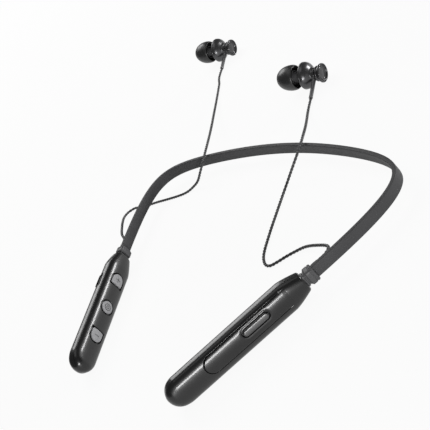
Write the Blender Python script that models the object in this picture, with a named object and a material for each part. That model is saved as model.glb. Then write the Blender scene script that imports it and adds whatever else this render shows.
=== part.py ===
"""Neckband earphones lying on a table: two pods on a silicone band, with a corded earbud from each pod.

Metres, +Z up, table at z = 0. The band's opening faces -Y. Each pod is built in a frame of its own: x runs
from the pod's rear end to its front end, +y is the side that carries the keys, and z is up.
"""

import math

import bmesh
import bpy
import numpy as np
from mathutils import Vector

# Placing
NECK_CENTRE = (0.03154, -0.05324)
POD_REAR_X = 0.0780
POD_TOE = math.radians(27.8)

# Pods
POD_LENGTH = 0.0760
POD_HEIGHT = 0.0146
POD_THICKNESS = 0.0090
POD_CORNER = 0.0028
POD_WALL = 0.0012
PLATE_DEPTH = 0.0030
FRONT_ROUND = 0.0085
FRONT_EDGE = 0.0045
REAR_SHOULDER = 0.0100
REAR_HEIGHT = 0.0092
REAR_THICKNESS = 0.0074
REAR_WALL = 0.0020
CAVITY_FRONT_WALL = 0.0070
SEAL_GROOVE = 0.15
SEAL_REACH = 0.70
PARTING_GAP = 0.0003
FIT_GAP = 0.0003

# Buttons and keys
BUTTON_RADIUS = 0.0034
SIDE_BUTTON_RADIUS = 0.0034
SIDE_BUTTON_SPAN = math.radians(133.0)
BUTTON_ROW_OFFSET = -0.0011
BUTTON_PITCH = 0.0186
BUTTON_PROUD = 0.0004
BUTTON_FLANGE_EDGE = 0.0007
BUTTON_FLANGE = 0.0008
BUTTON_TRAVEL = 0.0005
SWITCH_CLEARANCE = 0.00015
SWITCH_SIZE = 0.0030
SWITCH_HEIGHT = 0.0012
KEY_LENGTH = 0.0136
KEY_WIDTH = 0.0032
KEY_CENTRE = 0.0264
KEY_RISE = 0.0024
KEY_PROUD = 0.0007

# Panel on the battery pod
PANEL_REAR = 0.0065
PANEL_FRONT = 0.0545
PANEL_HEIGHT = 0.0084
PANEL_RISE = 0.0014
PANEL_THICKNESS = 0.0005
PANEL_RECESS = 0.0006
PANEL_EDGE_GAP = 0.0003

# Electronics
BOARD_THICKNESS = 0.0008
BOARD_MARGIN = 0.0012
BOARD_REAR = 0.0140
BOARD_END_GAP = 0.0030
CHIP_SIZE = 0.0060
CHIP_HEIGHT = 0.0009
CHIP_PLACE = 0.0450
MICROPHONE_SIZE = (0.0030, 0.0010, 0.0022)
MICROPHONE_INSET = 0.0028
PORT_PLACE = 0.0216
PORT_WIDTH = 0.0096
PORT_THICKNESS = 0.0033
PORT_DEPTH = 0.0050
PORT_WALL = 0.0004
PORT_SUNK = 0.0003
PORT_TONGUE = (0.0064, 0.0008, 0.0034)
PORT_OFFSET = -0.0014
BATTERY_MARGIN = 0.0012
BATTERY_END_GAP = 0.0020
BATTERY_KEY_GAP = 0.0031
PROTECTION_END_GAP = 0.0015

# Collars and glands
STEM_HEIGHT = 0.0056
STEM_THICKNESS = 0.0028
STEM_HEAD_HEIGHT = 0.0068
STEM_HEAD_THICKNESS = 0.0040
STEM_HEAD_LENGTH = 0.0014
COLLAR_NECK = 0.0018
COLLAR_LENGTH = 0.0040
COLLAR_HEIGHT = 0.0074
COLLAR_THICKNESS = 0.0054
COLLAR_EDGE = 0.0006
GLAND_LENGTH = 0.0032
GLAND_RADIUS = 0.0009
GLAND_TIP_RADIUS = 0.00085
GLAND_SIDE = 0.0023
GLAND_RISE = 0.0012

# Band
BAND_HEIGHT = 0.0060
BAND_THICKNESS = 0.0022
BAND_EDGE = 0.0005
BAND_BACK_Y = 0.0757
BAND_ARM_REACH = 0.0800
BAND_CORNER = (0.0921, 0.0592)
BAND_BACK_REACH = 0.0614
BAND_STEPS = 22
CHANNEL_HEIGHT = 0.0038
CHANNEL_THICKNESS = 0.0014
CHANNEL_EDGE = 0.0002
CORE_RADIUS = 0.00045
CORE_SPACING = 0.0020
CORE_IN_POD = 0.0065

# Earbuds
BUD_RIM_RADIUS = 0.0075
BUD_RIM_BACK = 0.0009
BUD_WALL = 0.0010
BUD_NECK_RADIUS = 0.0036
BUD_NECK_START = 0.0050
BUD_NECK_END = 0.0072
CAP_RADIUS = 0.0052
CAP_LENGTH = 0.0038
CAP_EDGE = 0.0006
MAGNET_RADIUS = 0.0028
MAGNET_LENGTH = 0.0018
DRIVER_RADIUS = 0.0052
DRIVER_LENGTH = 0.0016
NOZZLE_RADIUS = 0.0027
NOZZLE_BORE = 0.0017
NOZZLE_LENGTH = 0.0116
NOZZLE_BARB = 0.0003
MESH_THICKNESS = 0.0004
TIP_RADIUS = 0.0070
TIP_START = 0.0052
TIP_LENGTH = 0.0107
TIP_WALL = 0.0008
RELIEF_PLACE = 0.0062
RELIEF_RADIUS = 0.0011
RELIEF_TIP_RADIUS = 0.00105
RELIEF_LENGTH = 0.0110
RELIEF_DROP = math.radians(18.0)
BUD_AZIMUTH = math.radians(197.0)
RIGHT_BUD = (-0.0261, 0.1288)
LEFT_BUD = (-0.1454, 0.1659)

# Cables
CABLE_RADIUS = 0.00075
CABLE_STEP = 0.0040
LEFT_CABLE_ROUTE = (
    (-0.0845, 0.0074, 0.0085), (-0.0871, 0.0114, 0.0084), (-0.0952, 0.0152, 0.0078),
    (-0.1065, 0.0222, 0.0055), (-0.1140, 0.0273, 0.0037), (-0.1184, 0.0312, 0.0025),
    (-0.1198, 0.0352, 0.0016), (-0.1172, 0.0387, 0.0011), (-0.1126, 0.0400, 0.0008),
    (-0.1069, 0.0411, 0.0008), (-0.0985, 0.0438, 0.0008), (-0.0889, 0.0463, 0.0008),
    (-0.0799, 0.0489, 0.0008), (-0.0740, 0.0513, 0.0009), (-0.0702, 0.0541, 0.0014),
    (-0.0643, 0.0569, 0.0039), (-0.0596, 0.0600, 0.0082), (-0.0577, 0.0640, 0.0113),
    (-0.0613, 0.0707, 0.0119), (-0.0671, 0.0788, 0.0115), (-0.0755, 0.0879, 0.0099),
    (-0.0854, 0.0973, 0.0076), (-0.0996, 0.1103, 0.0043), (-0.1100, 0.1205, 0.0022),
    (-0.1191, 0.1304, 0.0010), (-0.1269, 0.1401, 0.0008), (-0.1314, 0.1445, 0.0008),
    (-0.1346, 0.1491, 0.0009), (-0.1363, 0.1536, 0.0014),
)
RIGHT_CABLE_ROUTE = (
    (0.0804, 0.0096, 0.0085), (0.0817, 0.0126, 0.0084), (0.0809, 0.0163, 0.0078),
    (0.0764, 0.0190, 0.0064), (0.0636, 0.0206, 0.0034), (0.0558, 0.0205, 0.0016),
    (0.0500, 0.0180, 0.0008), (0.0465, 0.0152, 0.0008), (0.0427, 0.0116, 0.0008),
    (0.0396, 0.0095, 0.0008), (0.0359, 0.0099, 0.0008), (0.0318, 0.0130, 0.0008),
    (0.0287, 0.0173, 0.0008), (0.0255, 0.0238, 0.0008), (0.0224, 0.0306, 0.0008),
    (0.0196, 0.0373, 0.0008), (0.0166, 0.0445, 0.0008), (0.0139, 0.0514, 0.0009),
    (0.0142, 0.0575, 0.0029), (0.0173, 0.0611, 0.0063), (0.0208, 0.0654, 0.0102),
    (0.0207, 0.0708, 0.0118), (0.0165, 0.0790, 0.0115), (0.0022, 0.0928, 0.0057),
    (-0.0112, 0.1063, 0.0014), (-0.0149, 0.1113, 0.0008), (-0.0170, 0.1165, 0.0014),
)

TURN_SIDES = 20
CORNER_STEPS = 3


def clear_scene():
    """Remove whatever the scene holds."""
    for old in list(bpy.data.objects):
        bpy.data.objects.remove(old, do_unlink=True)


def material(name, colour, roughness, metallic=0.0):
    """A plain Principled material."""
    made = bpy.data.materials.new(name)
    made.use_nodes = True
    shader = made.node_tree.nodes["Principled BSDF"]
    shader.inputs["Base Color"].default_value = (*colour, 1.0)
    shader.inputs["Roughness"].default_value = roughness
    shader.inputs["Metallic"].default_value = metallic
    return made


def empty(name, location, rotation=(0.0, 0.0, 0.0), parent=None):
    """An empty that carries pieces."""
    made = bpy.data.objects.new(name, None)
    made.location = location
    made.rotation_euler = rotation
    made.parent = parent
    bpy.context.collection.objects.link(made)
    return made


def add_mesh(name, points, faces, skin, parent, origin=(0.0, 0.0, 0.0), smooth=True):
    """Link one closed mesh with its faces turned outwards and its origin where asked."""
    mesh = bpy.data.meshes.new(name)
    mesh.from_pydata([tuple(Vector(point) - Vector(origin)) for point in points], [], faces)
    work = bmesh.new()
    work.from_mesh(mesh)
    bmesh.ops.recalc_face_normals(work, faces=work.faces)
    work.to_mesh(mesh)
    work.free()
    if smooth:
        mesh.shade_smooth()
        mesh.set_sharp_from_angle(angle=math.radians(35.0))
    made = bpy.data.objects.new(name, mesh)
    made.parent = parent
    made.location = origin
    if skin:
        mesh.materials.append(skin)
    bpy.context.collection.objects.link(made)
    return made


def ring_faces(count, first, second):
    """Quads between two closed rings of the same count, given their first vertex numbers."""
    return [(first + i, first + (i + 1) % count, second + (i + 1) % count, second + i) for i in range(count)]


def loft(name, rings, skin, parent, caps="fan", **options):
    """Join closed rings of equal count in order.

    The end caps are single faces ("fan"), strips between the two halves of a folded ring ("fold"), or none,
    with the last ring joined back to the first ("loop").
    """
    count = len(rings[0])
    points = [tuple(point) for ring in rings for point in ring]
    faces = []
    for step in range(len(rings) - 1):
        faces += ring_faces(count, step * count, (step + 1) * count)
    last = (len(rings) - 1) * count
    if caps == "loop":
        faces += ring_faces(count, last, 0)
    elif caps == "fan":
        faces += [tuple(range(count)), tuple(range(last, last + count))]
    else:
        for first in (0, last):
            for i in range(count // 2 - 1):
                far = count - 1 - i
                faces.append((first + i, first + i + 1, first + far - 1, first + far))
    return add_mesh(name, points, faces, skin, parent, **options)


def turned(name, profile, skin, parent, sides=TURN_SIDES):
    """Turn a closed profile of (radius, x) points about the x axis; points of radius 0 lie on the axis."""
    points = []
    starts = []
    for radius, x in profile:
        starts.append(len(points))
        if radius == 0.0:
            points.append((x, 0.0, 0.0))
            continue
        for i in range(sides):
            angle = 2.0 * math.pi * i / sides
            points.append((x, radius * math.cos(angle), radius * math.sin(angle)))
    faces = []
    for number, (radius, _) in enumerate(profile):
        after = (number + 1) % len(profile)
        a, b = starts[number], starts[after]
        after_radius = profile[after][0]
        if radius == 0.0 and after_radius == 0.0:
            continue
        for i in range(sides):
            j = (i + 1) % sides
            if radius == 0.0:
                faces.append((a, b + i, b + j))
            elif after_radius == 0.0:
                faces.append((a + i, a + j, b))
            else:
                faces.append((a + i, a + j, b + j, b + i))
    return add_mesh(name, points, faces, skin, parent)


def block(name, low, high, skin, parent):
    """A box between two corners."""
    (x0, y0, z0), (x1, y1, z1) = low, high
    rings = [[(x, y0, z0), (x, y1, z0), (x, y1, z1), (x, y0, z1)] for x in (x0, x1)]
    return loft(name, rings, skin, parent, smooth=False)


def cut(target, cutter):
    """Cut one object with another and keep the cutter as a hidden guide."""
    cutter.hide_render = True
    cutter.display_type = "WIRE"
    tool = target.modifiers.new(cutter.name, "BOOLEAN")
    tool.operation = "DIFFERENCE"
    tool.solver = "EXACT"
    tool.object = cutter


def chamfered_ring(x, half_y, half_z, edge):
    """An eight-point rectangle with cut corners, across the x axis."""
    return [
        (x, half_y - edge, half_z), (x, half_y, half_z - edge),
        (x, half_y, edge - half_z), (x, half_y - edge, -half_z),
        (x, edge - half_y, -half_z), (x, -half_y, edge - half_z),
        (x, -half_y, half_z - edge), (x, edge - half_y, half_z),
    ]


def outline_circle(radius, edge=0.0, sides=TURN_SIDES):
    """A round outline, grown by an edge."""
    angles = np.linspace(0.0, 2.0 * math.pi, sides, endpoint=False)
    return [((radius + edge) * math.cos(angle), (radius + edge) * math.sin(angle)) for angle in angles]


def outline_arch(radius, towards, edge=0.0, sides=TURN_SIDES):
    """A half circle with straight sides and a flat end that faces the centre button.

    towards is +1 or -1 along x; the span is the angle from the half circle's middle to each corner.
    """
    grown = radius + edge
    flat = radius * math.tan(SIDE_BUTTON_SPAN - math.pi / 2.0) + edge
    angles = np.linspace(-math.pi / 2.0, math.pi / 2.0, sides - 2)
    points = [(towards * flat, -grown)]
    points += [(-towards * grown * math.cos(angle), grown * math.sin(angle)) for angle in angles]
    return points + [(towards * flat, grown)]


def outline_pill(length, width, edge=0.0, steps=6):
    """A bar outline with round ends, along x."""
    radius = width / 2.0 + edge
    reach = length / 2.0 - width / 2.0
    points = []
    for end, start in ((1.0, -math.pi / 2.0), (-1.0, math.pi / 2.0)):
        for i in range(steps + 1):
            angle = start + math.pi * i / steps
            points.append((end * reach + radius * math.cos(angle), radius * math.sin(angle)))
    return points


def outline_tongue(rear, front, height, edge=0.0, steps=8):
    """A panel outline, square at the rear and round at the front."""
    half = height / 2.0 + edge
    middle = front - height / 2.0
    points = [(rear - edge, -half)]
    for i in range(steps + 1):
        angle = -math.pi / 2.0 + math.pi * i / steps
        points.append((middle + half * math.cos(angle), half * math.sin(angle)))
    points.append((rear - edge, half))
    return points


def stacked(name, layers, centre, skin, parent, **options):
    """Stack outlines along y: layers are (y, outline) pairs, placed about (x, z)."""
    rings = [[(centre[0] + u, y, centre[1] + v) for u, v in outline] for y, outline in layers]
    return loft(name, rings, skin, parent, **options)


# Pod shells

CAVITY_END = POD_LENGTH - CAVITY_FRONT_WALL


def eased(value):
    """A quarter-round rise from 0 to 1."""
    return math.sqrt(max(0.0, 1.0 - (1.0 - value) ** 2))


def pod_half_size(x):
    """Half thickness and half height of the pod at x."""
    rear = eased(min(1.0, x / REAR_SHOULDER))
    half_y = (REAR_THICKNESS + (POD_THICKNESS - REAR_THICKNESS) * rear) / 2.0
    half_z = (REAR_HEIGHT + (POD_HEIGHT - REAR_HEIGHT) * rear) / 2.0
    left = POD_LENGTH - x
    half_z *= max(0.30, eased(min(1.0, left / FRONT_ROUND)))
    half_y *= max(0.35, eased(min(1.0, left / FRONT_EDGE)))
    return half_y, half_z


def half_outline(start, half_y, half_z, corner):
    """Half of a rounded rectangle, from (start, top) round the side y = half_y to (start, bottom)."""
    corner = min(corner, 0.9 * (half_y - start), 0.9 * half_z)
    points = [(start, half_z)]
    for sign in (1.0, -1.0):
        for i in range(CORNER_STEPS + 1):
            share = 1.0 - i / CORNER_STEPS if sign > 0.0 else -i / CORNER_STEPS
            angle = math.pi / 2.0 * share
            y = half_y - corner + corner * math.cos(angle)
            points.append((y, sign * (half_z - corner) + corner * math.sin(angle)))
    points.append((start, -half_z))
    return points


def pod_shell(name, sign, parting, skin, frame):
    """One shell of a pod: the side y * sign > parting, hollow, with half of the collar's hole in its rear."""
    body = POD_LENGTH - FRONT_ROUND
    front = [body + FRONT_ROUND * share for share in (0.30, 0.55, 0.75, 0.90, 1.0)]
    rear = [REAR_SHOULDER * share for share in (0.5, 0.75, 1.0)]
    stations = [(0.0, "neck"), (REAR_WALL, "neck"), (REAR_WALL + FIT_GAP, "cavity")]
    stations += [(x, "cavity") for x in rear]
    stations += [(POD_LENGTH / 2.0, "cavity"), (body, "cavity"), (CAVITY_END, "cavity")]
    stations += [(CAVITY_END + FIT_GAP, "solid")]
    stations += [(x, "solid") for x in front if x > CAVITY_END + FIT_GAP]
    rings = []
    for x, inside in stations:
        half_y, half_z = pod_half_size(x)
        share = half_y / (POD_THICKNESS / 2.0)
        start = sign * parting * share + PARTING_GAP / 2.0
        outer = half_outline(start, half_y, half_z, POD_CORNER)
        if inside == "neck":
            hole_y = STEM_THICKNESS / 2.0 + FIT_GAP
            hole_z = STEM_HEIGHT / 2.0 + FIT_GAP
            inner = half_outline(start, hole_y, hole_z, BAND_EDGE)
        elif inside == "cavity":
            inner = half_outline(start, half_y - POD_WALL, half_z - POD_WALL, POD_CORNER - POD_WALL)
        else:
            groove_y = start + SEAL_GROOVE * (half_y - start)
            inner = half_outline(start, groove_y, SEAL_REACH * half_z, POD_CORNER)
        loop = outer + inner[::-1]
        rings.append([(x, sign * y, z) for y, z in loop])
    return loft(name, rings, skin, frame, caps="fold")


def pod_frame(name, side):
    """The empty at a pod's rear end; side is -1 for the photo's left and +1 for its right."""
    turn = -math.pi / 2.0 - side * POD_TOE
    place = (NECK_CENTRE[0] + side * POD_REAR_X, NECK_CENTRE[1], POD_HEIGHT / 2.0)
    return empty(name, place, (0.0, 0.0, turn))


def face_depth(depth):
    """The y of a layer at a depth below the pod's key face."""
    return POD_THICKNESS / 2.0 - depth


FLANGE_TOP = POD_WALL + FIT_GAP
FLANGE_BACK = FLANGE_TOP + BUTTON_FLANGE
SWITCH_TOP = FLANGE_BACK + BUTTON_TRAVEL + SWITCH_CLEARANCE
SWITCH_BACK = SWITCH_TOP + SWITCH_HEIGHT
BOARD_TOP = SWITCH_BACK + FIT_GAP
BOARD_BACK = BOARD_TOP + BOARD_THICKNESS
BOARD_FRONT = CAVITY_END - BOARD_END_GAP
BUTTON_CENTRE = POD_LENGTH / 2.0 + BUTTON_ROW_OFFSET
BOARD_HALF_HEIGHT = POD_HEIGHT / 2.0 - POD_WALL - BOARD_MARGIN


def press_cap(name, outline, centre, proud, skin, frame):
    """A press cap: a head through the wall and a flange behind it, with its origin on its face."""
    origin = (centre[0], face_depth(0.0), centre[1])
    layers = [
        (face_depth(FLANGE_BACK), outline(BUTTON_FLANGE_EDGE)),
        (face_depth(FLANGE_TOP), outline(BUTTON_FLANGE_EDGE)),
        (face_depth(FLANGE_TOP - FIT_GAP / 10.0), outline(0.0)),
        (face_depth(-proud + BUTTON_PROUD / 2.0), outline(0.0)),
        (face_depth(-proud), outline(-BUTTON_PROUD / 2.0)),
    ]
    return stacked(name, layers, centre, skin, frame, origin=origin)


def wall_cutter(name, outline, centre, depth, parent):
    """A guide that opens the key face's wall to a depth."""
    layers = [(face_depth(-POD_WALL), outline), (face_depth(depth), outline)]
    return stacked(name, layers, centre, None, parent, smooth=False)


def tact_switch(name, centre, skin, frame):
    """A small switch on the board, under a press cap."""
    half = SWITCH_SIZE / 2.0
    low = (centre[0] - half, face_depth(SWITCH_BACK), centre[1] - half)
    high = (centre[0] + half, face_depth(SWITCH_TOP), centre[1] + half)
    return block(name, low, high, skin, frame)


# Left pod: controls


def charge_port(frame, shell, skins):
    """The receptacle in the top side, its contact tongue, and the opening in the shell."""
    top = POD_HEIGHT / 2.0 - PORT_SUNK
    floor = top - PORT_DEPTH

    def ring(z, edge):
        half_x = PORT_WIDTH / 2.0 + edge
        half_y = PORT_THICKNESS / 2.0 + edge
        flat = chamfered_ring(0.0, half_y, half_x, half_y * 0.7)
        return [(PORT_PLACE + u, PORT_OFFSET + v, z) for _, v, u in flat]

    rings = [ring(floor, 0.0), ring(top, 0.0), ring(top, -PORT_WALL), ring(floor + PORT_WALL, -PORT_WALL)]
    loft("charge_port", rings, skins["steel"], frame)
    width, thickness, height = PORT_TONGUE
    base = floor + PORT_WALL + FIT_GAP
    low = (PORT_PLACE - width / 2.0, PORT_OFFSET - thickness / 2.0, base)
    high = (PORT_PLACE + width / 2.0, PORT_OFFSET + thickness / 2.0, base + height)
    block("charge_port_tongue", low, high, skins["switch"], frame)
    opening = [ring(floor, FIT_GAP), ring(POD_HEIGHT, FIT_GAP)]
    cut(shell, loft("charge_port_opening", opening, None, frame, smooth=False))


def control_board(frame, skins):
    """The circuit board, notched beside the charge port, with its chip and microphone."""
    half = BOARD_HALF_HEIGHT
    notch_x = PORT_PLACE + PORT_WIDTH / 2.0 + BOARD_MARGIN / 2.0
    notch_z = POD_HEIGHT / 2.0 - PORT_SUNK - PORT_DEPTH - FIT_GAP
    outline = [
        (BOARD_REAR, -half), (BOARD_FRONT, -half), (BOARD_FRONT, half),
        (notch_x, half), (notch_x, notch_z), (BOARD_REAR, notch_z),
    ]
    layers = [(face_depth(BOARD_BACK), outline), (face_depth(BOARD_TOP), outline)]
    stacked("control_board", layers, (0.0, 0.0), skins["board"], frame, smooth=False)
    chip_top = BOARD_BACK + FIT_GAP
    low = (CHIP_PLACE - CHIP_SIZE / 2.0, face_depth(chip_top + CHIP_HEIGHT), -CHIP_SIZE / 2.0)
    high = (CHIP_PLACE + CHIP_SIZE / 2.0, face_depth(chip_top), CHIP_SIZE / 2.0)
    block("radio_chip", low, high, skins["switch"], frame)
    length, depth, height = MICROPHONE_SIZE
    back = BOARD_TOP - FIT_GAP
    middle = BOARD_FRONT - MICROPHONE_INSET
    low = (middle - length / 2.0, face_depth(back), -height / 2.0)
    high = (middle + length / 2.0, face_depth(back - depth), height / 2.0)
    block("microphone", low, high, skins["steel"], frame)


def left_pod(skins):
    """The control pod, with its buttons on the side that faces the neck."""
    frame = pod_frame("left_pod_frame", -1.0)
    parting = POD_THICKNESS / 2.0 - PLATE_DEPTH
    plate = pod_shell("left_pod_inner_shell", 1.0, parting, skins["gloss"], frame)
    tub = pod_shell("left_pod_outer_shell", -1.0, parting, skins["gloss"], frame)

    def up_outline(edge):
        return outline_arch(SIDE_BUTTON_RADIUS, 1.0, edge)

    def power_outline(edge):
        return outline_circle(BUTTON_RADIUS, edge)

    def down_outline(edge):
        return outline_arch(SIDE_BUTTON_RADIUS, -1.0, edge)

    buttons = (
        ("volume_up", -1.0, up_outline),
        ("power", 0.0, power_outline),
        ("volume_down", 1.0, down_outline),
    )
    for name, step, outline in buttons:
        centre = (BUTTON_CENTRE + step * BUTTON_PITCH, 0.0)
        press_cap(name + "_button", outline, centre, BUTTON_PROUD, skins["button"], frame)
        tact_switch(name + "_switch", centre, skins["switch"], frame)
        cut(plate, wall_cutter(name + "_hole", outline(FIT_GAP), centre, FLANGE_TOP, frame))
    control_board(frame, skins)
    charge_port(frame, tub, skins)
    return frame


# Right pod: battery


def right_pod(skins):
    """The battery pod, with a panel and a bar key on its outer side."""
    frame = pod_frame("right_pod_frame", 1.0)
    parting = POD_THICKNESS / 2.0 - PLATE_DEPTH
    pod_shell("right_pod_inner_shell", -1.0, -parting, skins["gloss"], frame)
    tub = pod_shell("right_pod_outer_shell", 1.0, -parting, skins["gloss"], frame)
    panel_centre = (0.0, PANEL_RISE)
    recess = outline_tongue(PANEL_REAR, PANEL_FRONT, PANEL_HEIGHT, PANEL_EDGE_GAP)
    cut(tub, wall_cutter("right_pod_panel_recess", recess, panel_centre, PANEL_RECESS, frame))
    plate = outline_tongue(PANEL_REAR, PANEL_FRONT, PANEL_HEIGHT)
    back = PANEL_RECESS - FIT_GAP
    layers = [(face_depth(back), plate), (face_depth(back - PANEL_THICKNESS), plate)]
    panel = stacked("right_pod_panel", layers, panel_centre, skins["panel"], frame, smooth=False)

    def key_outline(edge):
        return outline_pill(KEY_LENGTH, KEY_WIDTH, edge)

    centre = (KEY_CENTRE, KEY_RISE)
    press_cap("function_key", key_outline, centre, KEY_PROUD, skins["button"], frame)
    hole = wall_cutter("function_key_hole", key_outline(FIT_GAP), centre, FLANGE_TOP, frame)
    cut(tub, hole)
    cut(panel, hole)
    tact_switch("function_key_switch", centre, skins["switch"], frame)
    battery(frame, skins)
    return frame


def battery(frame, skins):
    """The cell, in the room between the key and the pod's front wall, and its protection board behind it."""
    rear = KEY_CENTRE + KEY_LENGTH / 2.0 + BUTTON_FLANGE_EDGE + BATTERY_KEY_GAP
    front = CAVITY_END - BATTERY_END_GAP
    half_y = POD_THICKNESS / 2.0 - POD_WALL - BATTERY_MARGIN
    half_z = POD_HEIGHT / 2.0 - POD_WALL - BATTERY_MARGIN
    block("battery", (rear, -half_y, -half_z), (front, half_y, half_z), skins["cell"], frame)
    low = (BOARD_REAR, face_depth(BOARD_BACK), -BOARD_HALF_HEIGHT)
    high = (rear - PROTECTION_END_GAP, face_depth(BOARD_TOP), BOARD_HALF_HEIGHT)
    block("protection_board", low, high, skins["board"], frame)


# Band, its wires and its collars


def collar(name, frame, skin):
    """A stepped collar: a headed stem held in the pod's rear wall, a short neck and a thicker ring."""
    head = REAR_WALL + 2.0 * FIT_GAP
    ring_start = -COLLAR_NECK
    ring_end = ring_start - COLLAR_LENGTH
    stem = (STEM_THICKNESS / 2.0, STEM_HEIGHT / 2.0)
    stem_head = (STEM_HEAD_THICKNESS / 2.0, STEM_HEAD_HEIGHT / 2.0)
    ring = (COLLAR_THICKNESS / 2.0, COLLAR_HEIGHT / 2.0)
    rounded = (ring[0] - COLLAR_EDGE, ring[1] - COLLAR_EDGE)
    steps = [
        (head + STEM_HEAD_LENGTH, stem_head), (head, stem_head), (head, stem), (ring_start, stem),
        (ring_start, rounded), (ring_start - COLLAR_EDGE, ring),
        (ring_end + COLLAR_EDGE, ring), (ring_end, rounded),
    ]
    rings = [chamfered_ring(x, y, z, BAND_EDGE) for x, (y, z) in steps]
    hole = (CHANNEL_THICKNESS / 2.0, CHANNEL_HEIGHT / 2.0)
    rings += [chamfered_ring(x, *hole, CHANNEL_EDGE) for x in (ring_end, head + STEM_HEAD_LENGTH)]
    return loft(name, rings, skin, frame, caps="loop")


def gland(name, frame, skin):
    """The cable's exit behind the collar, beside the band."""
    start = -COLLAR_NECK - COLLAR_LENGTH - FIT_GAP
    end = start - GLAND_LENGTH
    profile = [(0.0, start), (GLAND_RADIUS, start), (GLAND_TIP_RADIUS, end), (0.0, end)]
    piece = turned(name, profile, skin, frame, sides=10)
    piece.location = (0.0, -GLAND_SIDE, GLAND_RISE)
    return piece


def pod_directions(side):
    """Unit vectors of a pod in the table plane: rearwards and rear-end place, from the neck's centre."""
    back = np.array([side * math.sin(POD_TOE), math.cos(POD_TOE)])
    return back, np.array([side * POD_REAR_X, 0.0])


def band_half():
    """Centre line of the right half of the band, from its collar to the back of the neck."""
    back, rear = pod_directions(1.0)
    start = rear + back * (COLLAR_NECK + COLLAR_LENGTH + FIT_GAP)
    end = np.array([0.0, BAND_BACK_Y])
    controls = [start, rear + back * BAND_ARM_REACH, np.array(BAND_CORNER), end + [BAND_BACK_REACH, 0.0], end]
    share = np.linspace(0.0, 1.0, BAND_STEPS + 1)[:, None]
    return sum(
        math.comb(4, i) * share ** i * (1.0 - share) ** (4 - i) * point for i, point in enumerate(controls)
    )


def band_line():
    """Centre line of the whole band, from the left collar round the back to the right collar."""
    half = band_half()
    return np.vstack([half * [-1.0, 1.0], half[-2::-1]])


def line_normals(line):
    """Unit normals of a flat line, pointing away from the neck."""
    run = np.gradient(line, axis=0)
    run[0] = line[1] - line[0]
    run[-1] = line[-1] - line[-2]
    back, _ = pod_directions(1.0)
    run[0] = back * [-1.0, 1.0]
    run[-1] = -back
    run /= np.linalg.norm(run, axis=1)[:, None]
    return np.column_stack([-run[:, 1], run[:, 0]])


def band_rings(line, half_thickness, half_height, edge):
    """Chamfered rectangles across the band's line."""
    normals = line_normals(line)
    height = POD_HEIGHT / 2.0
    rings = []
    for point, normal in zip(line, normals):
        flat = chamfered_ring(0.0, half_thickness, half_height, edge)
        rings.append([(*(point + normal * y + NECK_CENTRE), height + z) for _, y, z in flat])
    return rings


def band(skins):
    """The silicone strip, with a channel along it for the spring core and the link wire."""
    line = band_line()
    outer = band_rings(line, BAND_THICKNESS / 2.0, BAND_HEIGHT / 2.0, BAND_EDGE)
    inner = band_rings(line, CHANNEL_THICKNESS / 2.0, CHANNEL_HEIGHT / 2.0, CHANNEL_EDGE)
    loft("neckband_strip", outer + inner[::-1], skins["silicone"], None, caps="loop")
    reach = COLLAR_NECK + COLLAR_LENGTH + FIT_GAP + CORE_IN_POD
    ends = []
    for side in (-1.0, 1.0):
        back, rear = pod_directions(side)
        ends.append(rear + back * (COLLAR_NECK + COLLAR_LENGTH + FIT_GAP - reach))
    wire_line = np.vstack([ends[0], line, ends[1]])
    for name, rise, skin in (("spring_core", 0.5, "steel"), ("link_wire", -0.5, "copper")):
        height = POD_HEIGHT / 2.0 + rise * CORE_SPACING
        points = [Vector((*(point + NECK_CENTRE), height)) for point in wire_line]
        tube(name, points, CORE_RADIUS, skins[skin], resolution=1)


def tube(name, points, radius, skin, resolution=2):
    """A round tube along points."""
    curve = bpy.data.curves.new(name, "CURVE")
    curve.dimensions = "3D"
    curve.bevel_depth = radius
    curve.bevel_resolution = resolution
    curve.use_fill_caps = True
    spline = curve.splines.new("POLY")
    spline.points.add(len(points) - 1)
    for knot, point in zip(spline.points, points):
        knot.co = (*point, 1.0)
    curve.materials.append(skin)
    made = bpy.data.objects.new(name, curve)
    bpy.context.collection.objects.link(made)
    return made


# Earbuds


def bud_tilt():
    """The tilt at which a bud rests on its front rim and on its cap."""
    return math.atan2(BUD_RIM_RADIUS - CAP_RADIUS, BUD_NECK_END + FIT_GAP + CAP_LENGTH - CAP_EDGE)


def bud_frame(name, place):
    """The empty at the middle of a bud's front rim; its x axis points to the ear tip."""
    tilt = bud_tilt()
    where = (NECK_CENTRE[0] + place[0], NECK_CENTRE[1] + place[1], BUD_RIM_RADIUS * math.cos(tilt))
    return empty(name, where, (0.0, -tilt, BUD_AZIMUTH))


def bud_body(side, frame, skin):
    """The bell-shaped shell, open at the front for the nozzle and at the neck for the leads."""
    outside = [
        (BUD_RIM_RADIUS - BUD_RIM_BACK / 2.0, BUD_RIM_BACK), (BUD_RIM_RADIUS, 0.0),
        (0.95 * BUD_RIM_RADIUS, -0.30 * BUD_NECK_START), (0.80 * BUD_RIM_RADIUS, -0.64 * BUD_NECK_START),
        (BUD_NECK_RADIUS + BUD_WALL / 2.0, -0.93 * BUD_NECK_START), (BUD_NECK_RADIUS, -1.08 * BUD_NECK_START),
        (BUD_NECK_RADIUS, -BUD_NECK_END),
    ]
    inside = [(radius - BUD_WALL, x) for radius, x in outside[:0:-1]]
    inside.append((BUD_RIM_RADIUS - BUD_WALL, BUD_RIM_BACK))
    return turned(side + "_bud_body", outside + inside, skin, frame)


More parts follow.
